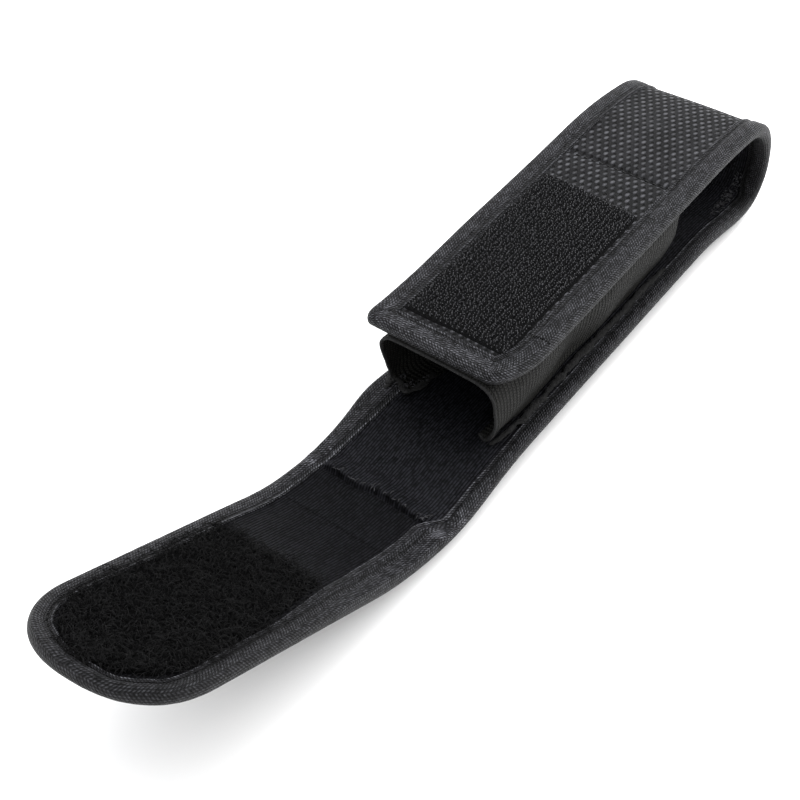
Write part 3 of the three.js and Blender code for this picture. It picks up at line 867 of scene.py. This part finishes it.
def elastic():
    """One band of elastic: a side wall each way and the bridge under the front that joins them."""
    count, columns = 161, 84
    near = spline(ARCH_NEAR, count)
    far = spline(ARCH_FAR, count)
    w = np.linspace(0, 1, count)[None, :]
    u = np.linspace(0, 1, columns)[:, None] ** 1.15
    arch = abs(w - 0.5) * 2
    start = near[None, :, 0] + 0.25 * noise(w * 40, 0, 91, 3)
    stop = 102.5 + 3.2 * dip(arch - 0.62, 0.2)
    x = start + (stop - start) * u
    mix = ramp(x, 4, 24)[..., None]
    section = near[None, :, 1:] * (1 - mix) + far[None] * mix
    y, z = section[..., 0], section[..., 1]
    z = z + ramp(z, 3, 27) * x * math.tan(math.radians(FRONT_RISE))
    wall = ramp(z, 2.6, 8) * (1 - ramp(z, 24, 28))
    pinch = dip(x - 42, 9) * (y < 0) * wall
    y = y * (1 - 0.16 * ramp(x, 96, 106) * wall) + 1.5 * pinch
    y = y + np.sign(y) * wall * (0.7 * noise(x, z, 92, 15) + 0.15 * noise(x, z, 93, 4))
    foot = (1 - ramp(z, 2.6, 6)) * (y < 0)
    y = y - foot * (1.0 * np.sin((x - 48) / 58 * math.pi) ** 2 - 0.6)
    middle = np.stack([x, y, z], -1)
    along = np.gradient(middle, axis=1)
    normal = np.stack([0 * x, along[..., 2], -along[..., 1]], -1)
    normal /= np.linalg.norm(normal, axis=-1, keepdims=True)
    hem = 0.36 + 0.16 * dip((x - start) / 1.2 - 0.5, 0.6)
    outer, inner = middle + normal * hem[..., None], middle - normal * hem[..., None]
    points = np.concatenate([outer, inner[::-1]], 0).transpose(1, 0, 2)
    arc_length = np.linalg.norm(np.diff(middle, axis=1), axis=2)
    arc_length = np.concatenate([np.zeros((columns, 1)), np.cumsum(arc_length, 1)], 1)
    weave = np.stack([x, arc_length], -1)
    weave = np.concatenate([weave, weave[::-1]], 0).transpose(1, 0, 2)
    ob = make("elastic", (points + np.array(ORIGIN)) * MM, slab_faces(count, columns), ELASTIC, weave)
    rim = middle[0] + np.array([-0.1, 0, 0])
    rim_points, rim_faces = tubes([(rim + np.array(ORIGIN)) * MM], 0.50 * MM, sides=8, taper=1.0)
    edge = make("elastic_rim", rim_points, rim_faces, RIM, rim_points / MM)
    return [ob, edge]


def ridge(name, line, radius, seed, lump):
    """A raw sewn edge along a line: lumpy, flattened and a little frayed."""
    middle = spline(line, int(3 * np.linalg.norm(np.diff(np.array(line), axis=0), axis=1).sum()))
    count, around = len(middle), 12
    ahead = np.gradient(middle, axis=0)
    ahead /= np.linalg.norm(ahead, axis=1, keepdims=True)
    side = np.cross(ahead, [0, 0, 1])
    along = np.arange(count)[:, None] / 3
    angle = np.linspace(0, 2 * math.pi, around, endpoint=False)[None, :]
    lumps = 1 + 0.42 * noise(along, angle * 0.6, seed, lump)
    size = radius * (lumps + 0.25 * noise(along, angle, seed + 1, 0.9))
    size = size * (0.25 + 0.75 * np.sqrt(np.clip(1 - (along / along[-1] * 2 - 1) ** 8, 0, 1)))
    wander = 0.35 * noise(along, 4, seed + 2, 3.5)
    points = middle[:, None] + side[:, None] * (wander + size * np.cos(angle) * 1.15)[..., None]
    points = points + np.array([0, 0, 1]) * (0.55 * size * np.sin(angle))[..., None]
    weave = np.stack([np.broadcast_to(along, size.shape), angle * radius + 0 * along], -1)
    faces = grid_faces(count, around, ring=True)
    ob = make(name, (points + np.array(ORIGIN)) * MM, faces, RAW_EDGE, weave)
    return ob


# ---------------------------------------------------------------- belt loop


def belt_loop():
    """Webbing sewn down at both ends of the back's outside, with room for a belt between."""
    ends = []
    for s0, s1 in BELT_SEWN:
        points = place(np.linspace(s0, s1, 5), 0, -2.55) / MM - np.array(ORIGIN)
        ends.append([(p[0], p[2]) for p in points])
    free = [(-5, -6.4), (1.5, -7.55), (12, -7.6), (25, -7.6), (38, -7.6), (48.5, -7.55), (54.5, -6.1)]
    middle = spline([*ends[0], *free, *ends[1]], 150)
    along = np.concatenate([[0], np.cumsum(np.linalg.norm(np.diff(middle, axis=0), axis=1))])
    ahead = np.gradient(middle, axis=0)
    ahead /= np.linalg.norm(ahead, axis=1, keepdims=True)
    normal = np.stack([-ahead[:, 1], ahead[:, 0]], -1)
    angle = np.linspace(0, 2 * math.pi, 64, endpoint=False)
    y = 15.0 * np.sign(np.cos(angle)) * abs(np.cos(angle)) ** 0.45
    n = 0.78 * np.sign(np.sin(angle)) * abs(np.sin(angle)) ** 0.6
    y = y[None, :] + 0.12 * noise(along[:, None], np.sign(y)[None, :] * 7, 95, 5)
    x = middle[:, 0:1] + normal[:, 0:1] * n[None, :]
    z = middle[:, 1:2] + normal[:, 1:2] * n[None, :]
    points = (np.stack([x, y, z], -1) + np.array(ORIGIN)) * MM
    points[..., 2] = np.maximum(points[..., 2], 0)
    weave = np.stack([np.broadcast_to(along[:, None], y.shape), y], -1)
    rows, columns = y.shape
    faces = [tuple(f) for f in grid_faces(rows, columns, ring=True)[:, ::-1]]
    faces += [tuple(range(columns)), tuple(range(rows * columns - 1, (rows - 1) * columns - 1, -1))]
    ob = make("belt_loop_webbing", points, faces, WEBBING, weave)
    runs = []
    for s0, s1 in BELT_SEWN:
        corners = [(s0 + 2, -12), (s0 + 2, 12), (s1 - 2, 12), (s1 - 2, -12), (s0 + 2, -12), (s1 - 2, 12)]
        corners += [(s0 + 2, 12), (s1 - 2, -12)]
        for a, b in zip(corners, corners[1:]):
            long = math.hypot(b[0] - a[0], b[1] - a[1])
            for t in np.arange(0, long - 1.5, 2.4):
                f = np.linspace(t, t + 1.8, 5) / long
                s, across = a[0] + (b[0] - a[0]) * f, a[1] + (b[1] - a[1]) * f
                runs.append(place(s, across, -(3.28 + np.array([0, 0.14, 0.18, 0.14, 0]))))
    points, faces = tubes(runs, 0.26 * MM)
    sewn = make("belt_loop_stitches", points, faces, THREAD, points / MM)
    return [ob, sewn]


# ---------------------------------------------------------------- small seams


def cross_seam_row():
    """The stitches of the cross seam on the front."""
    runs = []
    sag = np.array([-0.1, 0.12, 0.2, 0.12, -0.1])
    for across in np.arange(-15.5, 15.0, 2.6):
        y = across + np.linspace(0, 2.0, 5)
        s = MOUTH - cross_seam(y)
        runs.append(place(s, y, -(FACE + shell_height(s, y) + sag)))
    points, faces = tubes(runs, THREAD_RADIUS * MM)
    row = make("cross_seam_stitches", points, faces, THREAD, points / MM)
    return row


def raw_edges():
    """The elastic's seam allowances, sewn down on the lining outside and inside its walls."""
    right = [
        (3.5, -16.6, 2.4), (12, -18.0, 2.5), (24, -18.8, 2.6), (37, -18.4, 2.5), (53, -18.6, 2.5),
        (66, -19.0, 2.5), (82, -19.2, 2.5), (98, -19.4, 2.4),
    ]
    left = [(4, 20.4, 2.4), (14, 20.0, 2.5), (30, 19.6, 2.5), (60, 19.6, 2.5), (98, 19.4, 2.4)]
    frill = [
        (17.5, 12.6, 2.4), (13, 12.0, 2.7), (9.2, 12.3, 2.9), (6.4, 13.6, 3.0), (6.2, 15.6, 3.0),
        (8.0, 17.9, 3.1), (9.0, 20.0, 3.4),
    ]
    tail = [(7.0, 19.6, 3.0), (6.2, 20.8, 3.0), (8.4, 21.4, 3.0)]
    return [
        ridge("raw_edge_right", right, 0.95, 101, 2.6), ridge("raw_edge_left", left, 0.8, 105, 2.6),
        ridge("raw_edge_frill", frill, 0.85, 109, 1.5), ridge("raw_edge_tail", tail, 0.7, 113, 1.2),
    ]


def frayed(name, s, y, height, seed):
    """Short curls of loose yarn scattered along a line on the lining."""
    rng = np.random.default_rng(seed)
    runs = []
    for s0, y0 in zip(s, y):
        angle = rng.uniform(0, 2 * math.pi) + rng.normal(0, 1.8) * np.linspace(0, 1, 6)
        size = rng.uniform(0.9, 2.0) / 6
        across = y0 + np.cumsum(np.sin(angle)) * size
        along = s0 + np.cumsum(np.cos(angle)) * size
        runs.append(place(along, across, FACE + height + 0.35 * np.sin(np.linspace(0, math.pi, 6))))
    points, faces = tubes(runs, 0.15 * MM, sides=4)
    ob = make(name, points, faces, LOOSE, points / MM)
    return ob


def crease_bits():
    """Loose yarn along the crease's tuck and at its two ends."""
    rng = np.random.default_rng(121)
    y = np.concatenate([rng.uniform(-16.5, 13.5, 20), rng.normal(-15, 1.2, 7), rng.normal(12, 1.5, 4)])
    s = crease_line(y) + 0.35 + rng.uniform(-0.25, 0.6, len(y))
    return frayed("crease_bits", s, y, 1.35, 122)


def toe_bits():
    """Loose yarn inside the bottom, along its right side."""
    count = 90
    rng = np.random.default_rng(123)
    s = rng.uniform(TOE - 14, TOE + 12, count)
    y = -16.8 + 0.05 * (s - TOE) + rng.normal(0, 0.6, count)
    return frayed("toe_bits", s, y, 0.25, 124)


def frill_bits():
    """Loose yarn round the frill at the elastic's left foot."""
    count = 46
    rng = np.random.default_rng(125)
    turn = rng.uniform(0, 1, count)
    s = CREASE + 26.9 + 6.4 + 10 * abs(turn - 0.5) * 1.6 + rng.normal(0, 0.4, count)
    y = 12.2 + 8.0 * turn + rng.normal(0, 0.4, count)
    return frayed("frill_bits", s, y, 1.5, 126)


# ---------------------------------------------------------------- assembly

SPLIT_NECK = 101.5  # inside the neck, clear of both folds
SPLIT_TOE = TOE + 4.0  # inside the bottom's turn, clear of the front's hinge


def stations(s0, s1, fine=None):
    """Even stations, closer together round a crease."""
    marks = [np.linspace(s0, s1, int((s1 - s0) / PANEL_STEP) + 1)]
    if fine is not None:
        marks.append(np.arange(max(s0, fine - 6), min(s1, fine + 9), 0.3))
    return np.unique(np.round(np.concatenate(marks), 3))


def blend_flap(ob):
    station_point(TONGUE - 13)
    station_point(TONGUE + 12)
    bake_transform(ob)


def blend_crease(ob):
    station_point(CREASE - 13)
    station_point(CREASE + 13)
    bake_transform(ob)


# The front's bend, level with its hinge.
FRONT_BLEND = [(station_point(at)[0], 0, station_point(PRESS)[2]) for at in (PRESS - 18, PRESS + 18)]


def blend_front(ob):
    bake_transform(ob)


def build_flap():
    near_tip = 1.25 + np.linspace(0, 1, 18)[:-1] ** 2 * 12
    s = np.concatenate([near_tip, np.linspace(13.25, SPLIT_NECK, 100)])
    limit = tip_limit(s, PANEL_INSET)
    body = panel("flap_padding", s, limit, limit)
    legs = [edge_run(SPLIT_NECK, HALF, 1), tip_run(), edge_run(HALF, SPLIT_NECK, -1)]
    tape, seams = binding("flap_tape", np.concatenate(legs))
    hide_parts("tongue_shell", "tongue_foam", "tongue_lining")
    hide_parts("tongue_binding")
    for ob in (body, tape, seams):
        blend_flap(ob)
    patch, fuzz = loop_patch()
    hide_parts("loop_patch")
    for ob in (patch, fuzz):
        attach(ob, "tongue")


def build_back():
    s = stations(SPLIT_NECK, SPLIT_TOE, fine=CREASE)
    limit = np.full(len(s), HALF - PANEL_INSET)
    body = panel("back_padding", s, limit, limit, across=55)
    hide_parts("back_shell", "back_foam", "back_lining", "neck_shell", "neck_foam", "neck_lining")
    blend_crease(body)
    for side, word in ((1, "left"), (-1, "right")):
        tape, seams = binding(f"back_tape_{word}", edge_run(SPLIT_NECK, SPLIT_TOE, side))
        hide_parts(f"back_binding_{word}", f"neck_binding_{word}")
        blend_crease(tape)
        blend_crease(seams)
    blend_crease(crease_bits())
    blend_front(toe_bits())
    loop, sewn = belt_loop()
    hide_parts("belt_loop")
    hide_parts("belt_loop_tack_top", "belt_loop_tack_bottom")
    for ob in (loop, sewn):
        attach(ob, "back")


def build_front():
    last = MOUTH - 1.25
    s = np.unique(np.concatenate([stations(SPLIT_TOE, last), last - np.linspace(0, 1, 12) ** 2 * 7]))
    left, right = (mouth_limit(s, PANEL_INSET, side) for side in (1, -1))
    body = panel("front_padding", s, left, right, across=55)
    tape, seams = binding("front_tape", mouth_run())
    row = cross_seam_row()
    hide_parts("front_shell", "front_foam", "front_lining", "turn_shell", "turn_foam", "turn_lining")
    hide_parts("front_binding", "turn_binding_left", "turn_binding_right")
    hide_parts("cross_seam")
    for ob in (body, tape, seams, row):
        blend_front(ob)
    patch, hooks = hook_patch()
    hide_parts("hook_patch")
    for ob in (patch, hooks):
        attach(ob, "front")
    band, rim = elastic()
    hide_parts("elastic_side_left", "elastic_side_right", "elastic_bridge")
    for ob in (band, rim):
        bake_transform(ob)
    for ob in (*raw_edges(), frill_bits()):
        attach(ob, "back")


camera()
studio()
build_flap()
build_back()
build_front()
